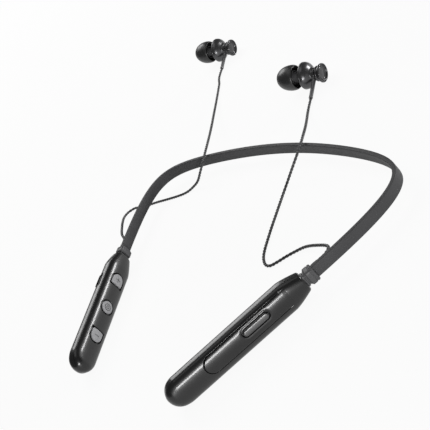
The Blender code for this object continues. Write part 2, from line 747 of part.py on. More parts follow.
def bud_nozzle(side, frame, skins):
    """The front housing with its sound tube and barb, and the mesh inside the tube."""
    rim = BUD_RIM_RADIUS - BUD_WALL - FIT_GAP
    barb = NOZZLE_RADIUS + NOZZLE_BARB
    end = NOZZLE_LENGTH
    profile = [
        (rim, -BUD_RIM_BACK), (rim, BUD_RIM_BACK), (0.75 * rim, 2.0 * BUD_RIM_BACK),
        (NOZZLE_RADIUS, TIP_START - BUD_RIM_BACK), (NOZZLE_RADIUS, 0.84 * end), (barb, 0.86 * end),
        (barb, 0.94 * end), (NOZZLE_RADIUS - NOZZLE_BARB, end), (NOZZLE_BORE, end),
        (NOZZLE_BORE, TIP_START - BUD_RIM_BACK), (rim - BUD_WALL, 0.0), (rim - BUD_WALL, -BUD_RIM_BACK),
    ]
    turned(side + "_bud_nozzle", profile, skins["shell"], frame)
    radius = NOZZLE_BORE - FIT_GAP / 2.0
    front = end - MESH_THICKNESS
    disc = [(0.0, front), (radius, front), (radius, front - MESH_THICKNESS), (0.0, front - MESH_THICKNESS)]
    turned(side + "_nozzle_mesh", disc, skins["steel"], frame, sides=12)


def bud_tip(side, frame, skin):
    """The silicone dome: a sleeve over the nozzle that turns back into a thin skirt."""
    bore = NOZZLE_RADIUS + NOZZLE_BARB + FIT_GAP
    sleeve = bore + TIP_WALL
    start = TIP_START
    long = TIP_LENGTH
    profile = [
        (0.92 * TIP_RADIUS, start), (TIP_RADIUS, start + 0.20 * long),
        (0.98 * TIP_RADIUS, start + 0.42 * long),
        (0.88 * TIP_RADIUS, start + 0.66 * long), (0.70 * TIP_RADIUS, start + 0.87 * long),
        (0.56 * TIP_RADIUS, start + 0.98 * long), (bore, start + long), (bore, start + TIP_WALL),
        (sleeve, start + TIP_WALL), (sleeve, start + 0.60 * long),
        (0.88 * TIP_RADIUS - TIP_WALL, start + 0.56 * long),
        (0.98 * TIP_RADIUS - TIP_WALL, start + 0.36 * long),
        (TIP_RADIUS - TIP_WALL, start + 0.20 * long), (0.92 * TIP_RADIUS - TIP_WALL, start),
    ]
    return turned(side + "_ear_tip", profile, skin, frame)


def bud_cap(side, frame, skins):
    """The rear cap, a cup that holds a magnet."""
    front = -BUD_NECK_END - FIT_GAP
    back = front - CAP_LENGTH
    pocket = MAGNET_RADIUS + FIT_GAP
    floor = front - MAGNET_LENGTH - 2.0 * FIT_GAP
    profile = [
        (pocket, front), (CAP_RADIUS - 2.0 * CAP_EDGE, front), (CAP_RADIUS, front - 2.0 * CAP_EDGE),
        (CAP_RADIUS, back + CAP_EDGE), (CAP_RADIUS - CAP_EDGE, back), (0.0, back),
        (0.0, floor), (pocket, floor),
    ]
    turned(side + "_bud_rear_cap", profile, skins["shell"], frame)
    top = front - FIT_GAP
    under = top - MAGNET_LENGTH
    disc = [(0.0, top), (MAGNET_RADIUS, top), (MAGNET_RADIUS, under), (0.0, under)]
    turned(side + "_cap_magnet", disc, skins["steel"], frame, sides=12)


def bud_driver(side, frame, skin):
    """The sound driver behind the front housing."""
    front = -BUD_RIM_BACK - FIT_GAP
    back = front - DRIVER_LENGTH
    disc = [(0.0, front), (DRIVER_RADIUS, front), (0.9 * DRIVER_RADIUS, back), (0.0, back)]
    turned(side + "_bud_driver", disc, skin, frame, sides=16)


def strain_relief(side, frame, skin):
    """The tapered boot at the neck, pointing sideways and down to the table."""
    start = BUD_NECK_RADIUS + FIT_GAP
    end = start + RELIEF_LENGTH
    profile = [(0.0, start), (RELIEF_RADIUS, start), (RELIEF_TIP_RADIUS, end), (0.0, end)]
    boot = turned(side + "_strain_relief", profile, skin, frame, sides=10)
    boot.location = (-RELIEF_PLACE, 0.0, 0.0)
    along = Vector((0.0, math.cos(RELIEF_DROP), -math.sin(RELIEF_DROP)))
    boot.rotation_euler = along.to_track_quat("X", "Z").to_euler()
    return boot


def earbud(side, place, skins):
    """One earbud, lying on the table."""
    frame = bud_frame(side + "_bud_frame", place)
    bud_body(side, frame, skins["shell"])
    bud_nozzle(side, frame, skins)
    bud_tip(side, frame, skins["tip"])
    bud_cap(side, frame, skins)
    bud_driver(side, frame, skins["switch"])
    strain_relief(side, frame, skins["silicone"])


# Cables


def smooth_route(route, step):
    """Points at even steps along a smooth curve through the route's own points."""
    points = [Vector(point) for point in route]
    points = [2.0 * points[0] - points[1]] + points + [2.0 * points[-1] - points[-2]]
    fine = []
    for a, b, c, d in zip(points, points[1:], points[2:], points[3:]):
        for i in range(12):
            t = i / 12.0
            bend = (2.0 * b) + (c - a) * t + (2.0 * a - 5.0 * b + 4.0 * c - d) * t ** 2
            fine.append(0.5 * (bend + (3.0 * b - a - 3.0 * c + d) * t ** 3))
    fine.append(points[-2])
    lengths = [0.0]
    for before, after in zip(fine, fine[1:]):
        lengths.append(lengths[-1] + (after - before).length)
    count = max(2, round(lengths[-1] / step))
    wanted = np.linspace(0.0, lengths[-1], count + 1)
    spread = [np.interp(wanted, lengths, [point[axis] for point in fine]) for axis in range(3)]
    return [Vector(point) for point in zip(*spread)]


def cable(name, route, skin):
    """A cable along its route, from its gland to its strain relief."""
    placed = [(x + NECK_CENTRE[0], y + NECK_CENTRE[1], z) for x, y, z in route]
    tube(name, smooth_route(placed, CABLE_STEP), CABLE_RADIUS, skin)


def build_skins():
    """Every material, by the name of what it is."""
    return {
        "gloss": material("gloss_black", (0.012, 0.012, 0.014), 0.16),
        "panel": material("satin_panel", (0.020, 0.020, 0.022), 0.32),
        "button": material("button_grey", (0.10, 0.10, 0.105), 0.38),
        "silicone": material("band_silicone", (0.030, 0.030, 0.033), 0.48),
        "collar": material("collar_grey", (0.045, 0.045, 0.048), 0.36),
        "tip": material("tip_silicone", (0.050, 0.050, 0.055), 0.42),
        "shell": material("bud_shell", (0.040, 0.040, 0.046), 0.18, 0.6),
        "cable": material("cable_sheath", (0.012, 0.012, 0.012), 0.45),
        "switch": material("switch_black", (0.020, 0.020, 0.020), 0.50),
        "board": material("board_green", (0.010, 0.060, 0.025), 0.40),
        "steel": material("steel", (0.55, 0.55, 0.57), 0.28, 1.0),
        "copper": material("link_sheath", (0.40, 0.18, 0.08), 0.40, 0.5),
        "cell": material("cell_wrap", (0.35, 0.36, 0.38), 0.35),
    }


def main():
    clear_scene()
    skins = build_skins()
    for side, frame in (("left", left_pod(skins)), ("right", right_pod(skins))):
        collar(side + "_band_collar", frame, skins["collar"])
        gland(side + "_cable_gland", frame, skins["collar"])
    band(skins)
    earbud("left", LEFT_BUD, skins)
    earbud("right", RIGHT_BUD, skins)
    cable("left_cable", LEFT_CABLE_ROUTE, skins["cable"])
    cable("right_cable", RIGHT_CABLE_ROUTE, skins["cable"])


main()
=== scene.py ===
"""Neckband earphones on a white table: lacquered pods, silicone ribbon, twisted cords and metal-look earbuds.

Metres, +Z up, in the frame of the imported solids. Every shape is a grid of points worked out with numpy.
"""

import math

import bmesh
import bpy
import numpy as np
from mathutils import Matrix


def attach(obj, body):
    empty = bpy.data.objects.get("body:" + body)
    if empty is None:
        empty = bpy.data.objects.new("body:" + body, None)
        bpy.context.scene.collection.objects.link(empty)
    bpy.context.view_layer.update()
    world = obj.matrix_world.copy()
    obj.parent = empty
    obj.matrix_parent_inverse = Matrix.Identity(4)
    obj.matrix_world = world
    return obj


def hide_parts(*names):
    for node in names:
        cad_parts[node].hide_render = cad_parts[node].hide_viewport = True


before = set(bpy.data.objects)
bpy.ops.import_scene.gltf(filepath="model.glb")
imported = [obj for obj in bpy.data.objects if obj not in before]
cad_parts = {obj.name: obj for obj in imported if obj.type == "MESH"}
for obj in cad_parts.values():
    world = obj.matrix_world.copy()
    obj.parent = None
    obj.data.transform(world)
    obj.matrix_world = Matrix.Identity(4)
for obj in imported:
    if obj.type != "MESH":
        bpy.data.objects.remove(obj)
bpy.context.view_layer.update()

# Places and sizes shared with the solids
NECK = np.array([0.03154, -0.05324, 0.0])
POD_REAR_X = 0.0780
POD_TOE = math.radians(27.8)
POD_LENGTH = 0.0760
POD_HEIGHT = 0.0146
POD_THICKNESS = 0.0090
FRONT_ROUND = 0.0085
FRONT_EDGE = 0.0045
REAR_SHOULDER = 0.0100
REAR_HEIGHT = 0.0092
REAR_THICKNESS = 0.0074
REAR_WALL = 0.0020
CAVITY_END = 0.0690
PARTING = 0.0015
PARTING_GAP = 0.00014
BUTTON_CENTRE = 0.0369
BUTTON_PITCH = 0.0186
BUTTON_RADIUS = 0.0034
SIDE_BUTTON_RADIUS = 0.0034
SIDE_BUTTON_FLAT = SIDE_BUTTON_RADIUS * math.tan(math.radians(43.0))
BUTTON_PROUD = 0.0004
KEY_LENGTH = 0.0136
KEY_WIDTH = 0.0032
KEY_CENTRE = 0.0264
KEY_RISE = 0.0024
KEY_PROUD = 0.0007
PANEL_REAR = 0.0065
PANEL_FRONT = 0.0545
PANEL_HEIGHT = 0.0084
PANEL_RISE = 0.0014
PORT_PLACE = 0.0216
PORT_WIDTH = 0.0096
PORT_THICKNESS = 0.0033
PORT_OFFSET = 0.0014
COLLAR_NECK = 0.0018
COLLAR_LENGTH = 0.0040
COLLAR_HEIGHT = 0.0074
COLLAR_THICKNESS = 0.0054
STEM_HEIGHT = 0.0056
STEM_THICKNESS = 0.0028
GLAND_LENGTH = 0.0032
GLAND_RADIUS = 0.0009
GLAND_SIDE = 0.0023
GLAND_RISE = 0.0012
FIT_GAP = 0.0003
BAND_HEIGHT = 0.0060
BAND_THICKNESS = 0.0022
BAND_BACK_Y = 0.0757
BAND_ARM_REACH = 0.0800
BAND_CORNER = (0.0921, 0.0592)
BAND_BACK_REACH = 0.0614
RIM_RADIUS = 0.0075
NECK_RADIUS = 0.0036
NECK_END = 0.0072
CAP_RADIUS = 0.0052
CAP_LENGTH = 0.0038
CAP_EDGE = 0.0006
NOZZLE_LENGTH = 0.0116
TIP_START = 0.0052
TIP_LENGTH = 0.0107
RELIEF_PLACE = 0.0062
RELIEF_RADIUS = 0.0011
RELIEF_LENGTH = 0.0110
RELIEF_DROP = math.radians(18.0)
BUD_AZIMUTH = math.radians(197.0)
BUD_TILT = math.atan2(RIM_RADIUS - CAP_RADIUS, NECK_END + FIT_GAP + CAP_LENGTH - CAP_EDGE)
BUD_PLACES = {"left": (-0.1454, 0.1659), "right": (-0.0261, 0.1288)}
CORD_RADIUS = 0.00075
LEFT_ROUTE = np.array([
    (-0.0845, 0.0074, 0.0085), (-0.0871, 0.0114, 0.0084), (-0.0952, 0.0152, 0.0078),
    (-0.1065, 0.0222, 0.0055), (-0.1140, 0.0273, 0.0037), (-0.1184, 0.0312, 0.0025),
    (-0.1198, 0.0352, 0.0016), (-0.1172, 0.0387, 0.0011), (-0.1126, 0.0400, 0.0008),
    (-0.1069, 0.0411, 0.0008), (-0.0985, 0.0438, 0.0008), (-0.0889, 0.0463, 0.0008),
    (-0.0799, 0.0489, 0.0008), (-0.0740, 0.0513, 0.0009), (-0.0702, 0.0541, 0.0014),
    (-0.0643, 0.0569, 0.0039), (-0.0596, 0.0600, 0.0082), (-0.0577, 0.0640, 0.0113),
    (-0.0613, 0.0707, 0.0119), (-0.0671, 0.0788, 0.0115), (-0.0755, 0.0879, 0.0099),
    (-0.0854, 0.0973, 0.0076), (-0.0996, 0.1103, 0.0043), (-0.1100, 0.1205, 0.0022),
    (-0.1191, 0.1304, 0.0010), (-0.1269, 0.1401, 0.0008), (-0.1314, 0.1445, 0.0008),
    (-0.1346, 0.1491, 0.0009), (-0.1363, 0.1536, 0.0014),
])
RIGHT_ROUTE = np.array([
    (0.0804, 0.0096, 0.0085), (0.0817, 0.0126, 0.0084), (0.0809, 0.0163, 0.0078),
    (0.0764, 0.0190, 0.0064), (0.0636, 0.0206, 0.0034), (0.0558, 0.0205, 0.0016),
    (0.0500, 0.0180, 0.0008), (0.0465, 0.0152, 0.0008), (0.0427, 0.0116, 0.0008),
    (0.0396, 0.0095, 0.0008), (0.0359, 0.0099, 0.0008), (0.0318, 0.0130, 0.0008),
    (0.0287, 0.0173, 0.0008), (0.0255, 0.0238, 0.0008), (0.0224, 0.0306, 0.0008),
    (0.0196, 0.0373, 0.0008), (0.0166, 0.0445, 0.0008), (0.0139, 0.0514, 0.0009),
    (0.0142, 0.0575, 0.0029), (0.0173, 0.0611, 0.0063), (0.0208, 0.0654, 0.0102),
    (0.0207, 0.0708, 0.0118), (0.0165, 0.0790, 0.0115), (0.0022, 0.0928, 0.0057),
    (-0.0112, 0.1063, 0.0014), (-0.0149, 0.1113, 0.0008), (-0.0170, 0.1165, 0.0014),
])

# Detail of the dressed surfaces, their coat, and the table and light
SIDE_POWER = 3.0
FACE_POWER = 2.0
POD_SKIN = 0.00125
REAR_LIP = 0.0008
WELL_DEPTH = 0.0010
WELL_GAP = 0.00050
BUTTON_GAP = 0.00080
WELL_SOFT = 0.00028
PANEL_LIFT = 0.00022
TWIST_PITCH = 0.0038
STRAND_RADIUS = 0.00054
COAT_ROUGHNESS = 0.10
BUTTON_EDGE = 0.00022
BUTTON_DISH = 0.00010
CAP_SINK = 0.0003
MARK_LENGTH = 0.0027
MARK_WIDTH = 0.00046
MARK_EDGE = 0.00003
MARK_SINK = 0.00012
MARK_ARM = 0.0010
MARK_ARM_LIFT = 0.00086
RING_MARK_RADII = (0.0018, 0.0008)
RING_MARK_WIDTH = 0.0004
RING_MARK_SINK = 0.00006
RING_MARK_ROUND = 0.00004
KEY_EDGE = 0.0007
KEY_SINK = 0.0001
KEY_WELL = 0.0011
KEY_DISH = 0.00018
KEY_DISH_SPREAD = 0.0007
KEY_BED = 0.0005
PANEL_EDGE = 0.00035
PANEL_SKIN = 0.00022
PANEL_FADE = 0.012
PANEL_TUCK = 0.00006
BED_DEPTH = 0.0007
BED_GAP = 0.00030
BED_SOFT = 0.00026
PORT_GAP = 0.0001
PORT_EASE = 0.00005
PORT_WALL = 0.0004
PORT_TONGUE = 0.0004
PORT_SINK = 0.00045
PORT_FLOOR = 0.00120
PORT_EDGE = 0.0002
REAR_EASE = 1.35
INSIDE_POINTS = 24
BAND_POINTS = 64
COLLAR_POINTS = 72
CORD_POINTS = 28
CORD_STEP = 0.00036
TABLE_REACH = 4.0
TABLE_WHITE = 0.93
ROOM_LIGHT = 0.16


# Camera, fitted to the photograph's frame

PICTURE_PIXELS = 430.0
FOCAL_PIXELS = 1029.76
SENSOR_WIDTH = 36.0
CAMERA_PLACE = (0.44007, -0.19575, 0.23434)


def place_camera():
    """A long lens beside the band; the columns of its turn are the picture's right, up and backward directions."""
    lens = bpy.data.cameras.new("camera")
    lens.sensor_width = SENSOR_WIDTH
    lens.lens = SENSOR_WIDTH * FOCAL_PIXELS / PICTURE_PIXELS
    lens.clip_start = 0.01
    camera = bpy.data.objects.new("camera", lens)
    right = (0.55590203, 0.540751, -0.6313171)
    up = (-0.02472287, 0.76990081, 0.63768451)
    back = (0.83088008, -0.33888214, 0.44135834)
    turn = Matrix((right, up, back)).transposed().to_4x4()
    camera.matrix_world = Matrix.Translation(CAMERA_PLACE) @ turn
    bpy.context.collection.objects.link(camera)
    bpy.context.scene.camera = camera


# Making pieces

def grid_faces(rings, loop=False):
    """Quads between neighbouring rings of a (rings, points, 3) array; loop joins the last ring to the first."""
    count, across = rings.shape[:2]
    row = np.arange(count if loop else count - 1)[:, None]
    after = (row + 1) % count
    here = np.arange(across)[None, :]
    beside = (here + 1) % across
    corners = [row * across + here, row * across + beside, after * across + beside, after * across + here]
    return np.stack(corners, axis=-1).reshape(-1, 4)


def joined(surfaces):
    """Several (points, faces) pairs as one pair, each face's numbers moved on by the points before it."""
    counts = np.cumsum([0] + [len(points) for points, _ in surfaces])
    points = np.vstack([points for points, _ in surfaces])
    faces = np.vstack([faces + first for (_, faces), first in zip(surfaces, counts)])
    return points, faces


def ringed(rings, loop=False):
    """A (rings, points, 3) array as a (points, faces) pair."""
    return rings.reshape(-1, 3), grid_faces(rings, loop)


def make_piece(name, surface, finish, body="neckband", stands_for=(), crease=38.0):
    """Put points and faces into a smooth closed mesh that rides on a body and stands for CAD nodes."""
    points, faces = surface
    mesh = bpy.data.meshes.new(name)
    mesh.from_pydata(points.tolist(), [], faces.tolist())
    work = bmesh.new()
    work.from_mesh(mesh)
    bmesh.ops.remove_doubles(work, verts=work.verts, dist=1e-6)
    bmesh.ops.dissolve_degenerate(work, dist=1e-7, edges=work.edges)
    open_edges = [edge for edge in work.edges if edge.is_boundary]
    if open_edges:
        bmesh.ops.holes_fill(work, edges=open_edges, sides=0)
    bmesh.ops.recalc_face_normals(work, faces=work.faces)
    work.to_mesh(mesh)
    work.free()
    mesh.shade_smooth()
    mesh.set_sharp_from_angle(angle=math.radians(crease))
    mesh.materials.append(finish)
    piece = bpy.data.objects.new(name, mesh)
    bpy.context.collection.objects.link(piece)
    if stands_for:
        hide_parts(*stands_for)
    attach(piece, body)
    return piece


# Finishes

def node_maker(name):
    """A new node material, its Principled shader, and short ways to add and join nodes."""
    made = bpy.data.materials.new(name)
    made.use_nodes = True
    tree = made.node_tree
    shader = tree.nodes["Principled BSDF"]

    def add(kind, **values):
        node = tree.nodes.new(kind)
        for key, value in values.items():
            if hasattr(node, key):
                setattr(node, key, value)
            else:
                node.inputs[key.replace("_", " ")].default_value = value
        return node

    def join(source, socket, target, into):
        tree.links.new(source.outputs[socket], target.inputs[into])

    return made, shader, add, join


def moulded(name, tones, roughness, grain, bump, metallic=0.0, level=0.5, coat=0.0):
    """A moulded or lacquered finish.

    Broad noise blends two tones, mid noise moves the roughness between two values, and fine noise of the given
    grain raises a slight bump, all on the piece's own coordinates. A clear coat may lie over it.
    """
    made, shader, add, join = node_maker(name)
    place = add("ShaderNodeTexCoord")
    broad = add("ShaderNodeTexNoise", Scale=90.0, Detail=4.0)
    join(place, "Object", broad, "Vector")
    colour = add("ShaderNodeValToRGB")
    colour.color_ramp.elements[0].position = 0.3
    colour.color_ramp.elements[1].position = 0.7
    colour.color_ramp.elements[0].color = (*tones[0], 1.0)
    colour.color_ramp.elements[1].color = (*tones[1], 1.0)
    join(broad, "Fac", colour, "Fac")
    join(colour, "Color", shader, "Base Color")
    cloudy = add("ShaderNodeTexNoise", Scale=420.0, Detail=3.0)
    join(place, "Object", cloudy, "Vector")
    spread = add("ShaderNodeMapRange")
    spread.inputs["From Min"].default_value = 0.3
    spread.inputs["From Max"].default_value = 0.7
    spread.inputs["To Min"].default_value = roughness[0]
    spread.inputs["To Max"].default_value = roughness[1]
    join(cloudy, "Fac", spread, "Value")
    join(spread, "Result", shader, "Roughness")
    fine = add("ShaderNodeTexNoise", Scale=grain, Detail=2.0)
    join(place, "Object", fine, "Vector")
    raised = add("ShaderNodeBump", Strength=bump, Distance=0.0001)
    join(fine, "Fac", raised, "Height")
    join(raised, "Normal", shader, "Normal")
    shader.inputs["Metallic"].default_value = metallic
    shader.inputs["Specular IOR Level"].default_value = level
    shader.inputs["Coat Weight"].default_value = coat
    shader.inputs["Coat Roughness"].default_value = COAT_ROUGHNESS
    return made


def grey(value):
    """A grey that is very slightly cool."""
    return value, value, 1.03 * value


def make_finishes():
    """Every finish by the name of what it covers."""
    return {
        "pod": moulded("pod_lacquer", (grey(0.005), grey(0.008)), (0.30, 0.34), 900.0, 0.001, level=0.34, coat=0.25),
        "panel": moulded("panel_lacquer", (grey(0.005), grey(0.008)), (0.30, 0.34), 1600.0, 0.001, level=0.34,
                         coat=0.20),
        "key": moulded("key_lacquer", (grey(0.012), grey(0.016)), (0.30, 0.32), 1600.0, 0.001, level=0.9),
        "button": moulded("button_satin", (grey(0.27), grey(0.30)), (0.38, 0.44), 5000.0, 0.03),
        "mark": moulded("button_mark", (grey(0.07), grey(0.09)), (0.45, 0.55), 5000.0, 0.03, level=0.2),
        "band": moulded("band_silicone", (grey(0.060), grey(0.070)), (0.50, 0.56), 6000.0, 0.02, level=0.12),
        "collar": moulded("collar_moulding", (grey(0.070), grey(0.080)), (0.42, 0.48), 5000.0, 0.008, level=0.3),
        "tip": moulded("tip_silicone", (grey(0.014), grey(0.018)), (0.34, 0.40), 4000.0, 0.01),
        "bud": moulded("bud_gunmetal", (grey(0.075), grey(0.09)), (0.27, 0.32), 7000.0, 0.001, metallic=0.8),
        "cap": moulded("cap_polish", (grey(0.06), grey(0.075)), (0.20, 0.24), 7000.0, 0.002, metallic=0.8),
        "cord": moulded("cord_sheath", (grey(0.045), grey(0.055)), (0.36, 0.42), 6000.0, 0.03, level=0.5),
        "boot": moulded("boot_rubber", (grey(0.075), grey(0.085)), (0.28, 0.32), 5000.0, 0.01, level=0.9),
        "steel": moulded("plain_steel", (grey(0.45), grey(0.55)), (0.24, 0.34), 3000.0, 0.05, metallic=1.0),
        "resin": moulded("black_resin", (grey(0.010), grey(0.014)), (0.45, 0.58), 4000.0, 0.05, level=0.2),
        "board": moulded("board_mask", ((0.008, 0.05, 0.02), (0.012, 0.07, 0.03)), (0.3, 0.42), 2500.0, 0.10),
        "copper": moulded("link_copper", ((0.36, 0.16, 0.07), (0.44, 0.20, 0.09)), (0.3, 0.4), 3000.0, 0.05,
                          metallic=0.6),
        "cell": moulded("cell_foil", (grey(0.32), grey(0.38)), (0.28, 0.40), 1200.0, 0.15, metallic=0.5),
    }


# Cords

def even_steps(line, step):
    """A polyline's points spread at equal steps of length along it."""
    run = np.concatenate([[0.0], np.cumsum(np.linalg.norm(np.diff(line, axis=0), axis=1))])
    wanted = np.linspace(0.0, run[-1], max(2, round(run[-1] / step)) + 1)
    return np.stack([np.interp(wanted, run, line[:, axis]) for axis in range(3)], axis=1), run[-1]


def smooth_line(route, step):
    """Even points on the curve through a route: each span blends its four nearest points by cubic weights."""
    knots = np.vstack([2.0 * route[0] - route[1], route, 2.0 * route[-1] - route[-2]])
    share = np.linspace(0.0, 1.0, 24, endpoint=False)[:, None, None]
    a, b, c, d = knots[:-3], knots[1:-2], knots[2:-1], knots[3:]
    bend = 2.0 * b + (c - a) * share + (2.0 * a - 5.0 * b + 4.0 * c - d) * share ** 2
    span = 0.5 * (bend + (3.0 * b - a - 3.0 * c + d) * share ** 3)
    return even_steps(np.vstack([span.transpose(1, 0, 2).reshape(-1, 3), route[-1:]]), step)


def twisted_cord(line, length):
    """Two strands twisted together along a line.

    The outline across the cord is that of two touching round strands, a radius that depends on the angle, and it
    turns once in every pitch along the line. The ends close to a point.
    """
    run = np.gradient(line, axis=0)
    run /= np.linalg.norm(run, axis=1)[:, None]
    side = np.cross(run, [0.0, 0.0, 1.0])
    side /= np.linalg.norm(side, axis=1)[:, None]
    up = np.cross(side, run)
    angle = np.linspace(0.0, 2.0 * math.pi, CORD_POINTS, endpoint=False)
    apart = CORD_RADIUS - STRAND_RADIUS
    radius = apart * np.abs(np.cos(angle)) + np.sqrt(STRAND_RADIUS ** 2 - (apart * np.sin(angle)) ** 2)
    turn = np.linspace(0.0, length, len(line))[:, None] * 2.0 * math.pi / TWIST_PITCH + angle[None, :]
    across = radius[None, :, None] * (np.cos(turn)[..., None] * side[:, None] + np.sin(turn)[..., None] * up[:, None])
    rings = line[:, None, :] + across
    ends = [np.repeat(line[end][None, None], CORD_POINTS, axis=1) for end in (0, -1)]
    return ringed(np.concatenate([ends[0], rings, ends[1]]))


def lay_cord(side, route, finishes):
    """One cord from its pod to its earbud, its strands twisted along the length of its line."""
    line, length = smooth_line(route + NECK, CORD_STEP)
    piece = make_piece(side + "_cord", twisted_cord(line, length), finishes["cord"],
                       stands_for=(side + "_cable",), crease=60.0)


# Pods

def eased(value):
    """A quarter-round rise from 0 to 1."""
    return np.sqrt(1.0 - (1.0 - np.clip(value, 0.0, 1.0)) ** 2)


def pod_half_sizes(x):
    """Half thickness and half height of a pod at x: full in the middle, eased in at both ends."""
    rear = 1.0 - (1.0 - np.clip(x / REAR_SHOULDER, 0.0, 1.0)) ** REAR_EASE
    half_y = (REAR_THICKNESS + (POD_THICKNESS - REAR_THICKNESS) * rear) / 2.0
    half_z = (REAR_HEIGHT + (POD_HEIGHT - REAR_HEIGHT) * rear) / 2.0
    lip = REAR_LIP * (1.0 - eased(x / REAR_LIP))
    left = POD_LENGTH - x
    return (half_y - lip) * eased(left / FRONT_EDGE), (half_z - lip) * eased(left / FRONT_ROUND)


def face_at(x, z):
    """How far a pod's face stands out at x and z: the oval across the pod, solved for its thickness."""
    half_y, half_z = pod_half_sizes(x)
    share = np.clip(np.abs(z) / np.maximum(half_z, 1e-6), 0.0, 1.0)
    return half_y * (1.0 - share ** FACE_POWER) ** (1.0 / SIDE_POWER)


def power(value, exponent):
    """A signed power."""
    return np.sign(value) * np.abs(value) ** exponent


def oval(angle):
    """The pod's unit section at an angle, |y|^p + |z|^q = 1: convex on its faces and flatter on its sides."""
    return power(np.cos(angle), 2.0 / SIDE_POWER), power(np.sin(angle), 2.0 / FACE_POWER)


def on_table(side, local):
    """Points of a pod's own frame, x to its front and y to its key side, turned and set down on the table."""
    turn = -math.pi / 2.0 - side * POD_TOE
    c, s = math.cos(turn), math.sin(turn)
    x, y, z = local[..., 0], local[..., 1], local[..., 2]
    place = np.stack([c * x - s * y + side * POD_REAR_X, s * x + c * y, z + POD_HEIGHT / 2.0], axis=-1)
    return place + NECK


def soft_step(distance, width):
    """1 inside an outline and 0 outside it, with a smooth slope of the given width across it."""
    share = np.clip(0.5 - distance / width, 0.0, 1.0)
    return share * share * (3.0 - 2.0 * share)


def bar_distance(u, v, reach, radius):
    """Distance from the outline of a bar with round ends that lies along u."""
    return np.hypot(u - np.clip(u, -reach, reach), v) - radius


def arch_distance(u, v, radius, flat, towards):
    """Distance from an arch's outline: a half circle, straight sides and a flat end on the side it faces."""
    return np.maximum(np.hypot(np.minimum(towards * u, 0.0), v) - radius, towards * u - flat)


def tongue_distance(u, v):
    """Distance from the panel's outline, square at the rear and round at the front."""
    reach = PANEL_FRONT - PANEL_HEIGHT / 2.0
    body = np.hypot(u - np.minimum(u, reach), v) - PANEL_HEIGHT / 2.0
    return np.maximum(body, PANEL_REAR - u)


def pod_stations(count):
    """Places along a pod, close together at both ends, and what its inside is there: 0 hole, 1 room, 2 solid."""
    rear = REAR_WALL * (1.0 - np.cos(np.linspace(0.0, math.pi / 2.0, 14)))
    room = np.linspace(REAR_WALL, CAVITY_END, count)
    bend = np.linspace(math.acos(1.0 - (POD_LENGTH - CAVITY_END) / FRONT_ROUND), 0.0, 26)
    nose = POD_LENGTH - FRONT_ROUND * (1.0 - np.cos(bend))
    inside = np.repeat([0, 1, 2], [len(rear), len(room), len(nose)])
    return np.concatenate([rear, room, nose]), inside


def shell_angles(start_share, across):
    """Angles round the oval from parting line to parting line, spread evenly by length."""
    end = math.acos(power(start_share, SIDE_POWER / 2.0))
    angle = np.linspace(end, -end, 6000)
    y, z = oval(angle)
    run = np.cumsum(np.hypot(POD_THICKNESS / 2.0 * np.diff(y), POD_HEIGHT / 2.0 * np.diff(z)))
    run = np.concatenate([[0.0], run])
    return np.interp(np.linspace(0.0, run[-1], across), run, angle)


def pod_shell(sign, parting, count, across, dents):
    """One moulded shell of a pod, in the pod's own frame.

    Across the pod the outside is an oval, |y/a|^p + |z/b|^q = 1, from one parting line round to the other, and a
    and b follow the pod's length. Dents press it in along its normal, and the inside is a second oval, one skin
    smaller.
    """
    x, inside = pod_stations(count)
    half_y, half_z = pod_half_sizes(x)
    start_share = (sign * parting + PARTING_GAP / 2.0) / (POD_THICKNESS / 2.0)
    angle = shell_angles(start_share, across)
    unit_y, unit_z = oval(angle)
    along = np.repeat(x[:, None], across, axis=1)
    outer = np.stack([along, half_y[:, None] * unit_y, half_z[:, None] * unit_z], axis=-1)
    normal = np.cross(np.gradient(outer, axis=0), np.gradient(outer, axis=1))
    normal /= np.maximum(np.linalg.norm(normal, axis=-1), 1e-15)[..., None]
    outward = np.sign(np.sum(normal[:, across // 2, 1]))
    normal *= outward
    outer -= normal * dents(outer, normal)[..., None]
    start = start_share * half_y
    room_y = np.where(inside == 0, STEM_THICKNESS / 2.0 + FIT_GAP, np.maximum(half_y - POD_SKIN, 1e-5))
    room_z = np.where(inside == 0, STEM_HEIGHT / 2.0 + FIT_GAP, np.maximum(half_z - POD_SKIN, 1e-5))
    share = np.clip(start / room_y, -0.98, 0.98)
    end = np.arccos(power(share, SIDE_POWER / 2.0))
    room = oval(end[:, None] * np.linspace(-1.0, 1.0, INSIDE_POINTS)[None, :])
    solid = (inside == 2)[:, None]
    inner_y = np.where(solid, start[:, None], room_y[:, None] * room[0])
    flat = np.linspace(-0.85, 0.85, INSIDE_POINTS)[None, :]
    inner_z = np.where(solid, half_z[:, None] * flat, room_z[:, None] * room[1])
    inner = np.stack([np.repeat(x[:, None], INSIDE_POINTS, axis=1), inner_y, inner_z], axis=-1)
    mouth = np.stack([
        np.zeros(across),
        (STEM_THICKNESS / 2.0 + 2.0 * FIT_GAP) * unit_y,
        (STEM_HEIGHT / 2.0 + 2.0 * FIT_GAP) * unit_z,
    ], axis=-1)
    outer = np.concatenate([mouth[None], outer])
    inner = np.concatenate([inner[:1], inner])
    rings = np.concatenate([outer, inner], axis=1)
    rings[..., 1] *= sign
    return rings


def no_dents(outer, normal):
    """A plain shell."""
    return np.zeros(outer.shape[:2])


def button_wells(outer, normal):
    """Three wells in the control face: a round one, and an arch on each side of it."""
    x, z = outer[..., 0], outer[..., 2]
    depth = soft_step(np.hypot(x - BUTTON_CENTRE, z) - BUTTON_RADIUS - BUTTON_GAP, WELL_SOFT)
    for towards in (1.0, -1.0):
        u = x - BUTTON_CENTRE + towards * BUTTON_PITCH
        away = arch_distance(u, z, SIDE_BUTTON_RADIUS + BUTTON_GAP, SIDE_BUTTON_FLAT + BUTTON_GAP, towards)
        depth = depth + soft_step(away, WELL_SOFT)
    return WELL_DEPTH * depth * (normal[..., 1] > 0.4)


